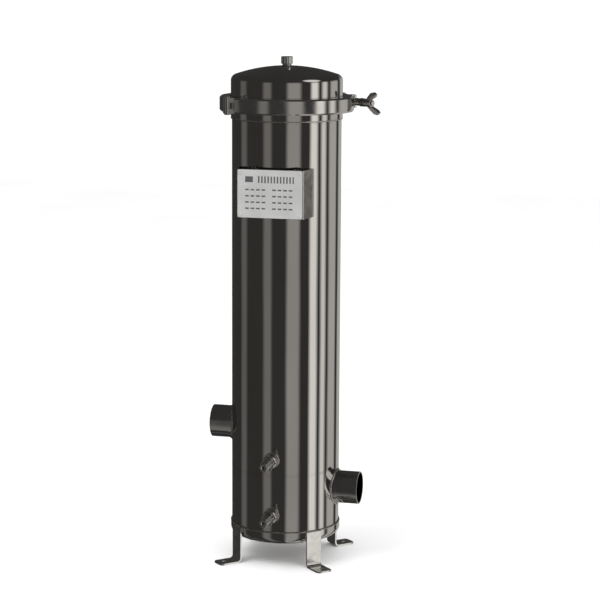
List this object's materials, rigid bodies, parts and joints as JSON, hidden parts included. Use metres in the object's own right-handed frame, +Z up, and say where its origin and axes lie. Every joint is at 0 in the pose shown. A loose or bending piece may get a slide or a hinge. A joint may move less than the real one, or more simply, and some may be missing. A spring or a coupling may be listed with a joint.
{
  "type": "cartridge filter housing",
  "caption": "Upright polished steel vessel on bent strip legs, with side inlet and outlet pipes, drains, a nameplate and a domed lid held by a hinged V clamp.",
  "frame": {"origin": "on the floor, on the vessel's axis, at the centre of the circle of foot holes", "axes": "+Z up along the vessel's axis, +X along the outlet pipe, -Y towards the nameplate and the drains"},
  "size_m": [0.3083, 0.2825, 0.933],
  "materials": {
    "polished_steel": "mirror-polished stainless steel",
    "cast_steel": "polished investment-cast stainless steel",
    "turned_steel": "turned stainless steel",
    "brushed_sheet": "brushed stainless strip",
    "plate_aluminium": "satin anodised",
    "seal_rubber": "black rubber",
    "inner_steel": "pickled stainless steel",
    "filter_media": "melt-blown polypropylene",
    "core_plastic": "moulded polypropylene"
  },
  "bodies": {
    "root": {"barrel": "polished_steel", "lid_head": "polished_steel", "bottom_head": "polished_steel", "body_ferrule": "polished_steel", "lid_ferrule": "polished_steel", "outlet_pipe": "polished_steel", "inlet_pipe": "polished_steel", "vent_socket": "polished_steel", "clamp_hinge_pin": "turned_steel", "upper_drain_socket": "turned_steel", "lower_drain_socket": "turned_steel", "upper_drain_nipple": "turned_steel", "lower_drain_nipple": "turned_steel", "leg_front_left": "brushed_sheet", "leg_front_right": "brushed_sheet", "leg_rear_left": "brushed_sheet", "leg_rear_right": "brushed_sheet", "nameplate_bracket": "brushed_sheet", "nameplate": "plate_aluminium", "nameplate_rivets": "plate_aluminium", "lid_gasket": "seal_rubber", "lower_cartridge_gaskets": "seal_rubber", "upper_cartridge_gaskets": "seal_rubber", "tube_sheet": "inner_steel", "cartridge_seats": "inner_steel", "hold_down_plate": "inner_steel", "tie_rod": "inner_steel", "tie_rod_washer": "inner_steel", "tie_rod_nut": "inner_steel", "spring_cups": "inner_steel", "cartridge_springs": "inner_steel", "cartridge_1": "filter_media", "cartridge_2": "filter_media", "cartridge_3": "filter_media", "cartridge_4": "filter_media", "cartridge_5": "filter_media", "cartridge_cores": "core_plastic"},
    "clamp_front": {"clamp_front_half": "cast_steel"},
    "clamp_rear": {"clamp_rear_half": "cast_steel", "swing_bolt_pin": "turned_steel"},
    "bolt": {"swing_bolt": "turned_steel"},
    "bolt_sleeve": {"clamp_sleeve": "cast_steel"},
    "nut": {"wing_nut": "cast_steel"},
    "seal": {"vent_seal": "seal_rubber"},
    "cap": {"vent_cap": "turned_steel"}
  },
  "joints": [
    {"name": "clamp_front_open", "type": "hinge", "parent": "root", "child": "clamp_front", "pos_m": [-0.08593, -0.09215, 0.8484], "axis": [0, 0, -1], "range_deg": [0, 1.2]},
    {"name": "clamp_rear_open", "type": "hinge", "parent": "root", "child": "clamp_rear", "pos_m": [-0.08593, -0.09215, 0.8484], "axis": [0, 0, 1], "range_deg": [0, 1.2]},
    {"name": "bolt_swing", "type": "hinge", "parent": "clamp_rear", "child": "bolt", "pos_m": [0.07944, 0.10572, 0.8484], "axis": [0, 0, 1], "range_deg": [0, 115]},
    {"name": "wing_nut_travel", "type": "slide", "parent": "bolt", "child": "bolt_sleeve", "axis": [0.7314, -0.682, 0], "range_m": [0, 0.0125]},
    {"name": "wing_nut_turn", "type": "hinge", "parent": "bolt_sleeve", "child": "nut", "pos_m": [0.12625, 0.06207, 0.8484], "axis": [0.7314, -0.682, 0], "range_deg": [0, 3600.5]},
    {"name": "vent_cap_lift", "type": "slide", "parent": "root", "child": "seal", "axis": [0, 0, 1], "range_m": [0, 0.00535]},
    {"name": "vent_cap_turn", "type": "hinge", "parent": "seal", "child": "cap", "pos_m": [0, 0, 0.925], "axis": [0, 0, 1], "range_deg": [0, 1440.5]}
  ],
  "couplings": [
    {"joint": "clamp_front_open", "follows": "wing_nut_travel", "rad_per_m": 1.6755},
    {"joint": "clamp_rear_open", "follows": "wing_nut_travel", "rad_per_m": 1.6755},
    {"joint": "wing_nut_turn", "follows": "wing_nut_travel", "rad_per_m": 5026.5},
    {"joint": "vent_cap_turn", "follows": "vent_cap_lift", "rad_per_m": 4699.5}
  ]
}
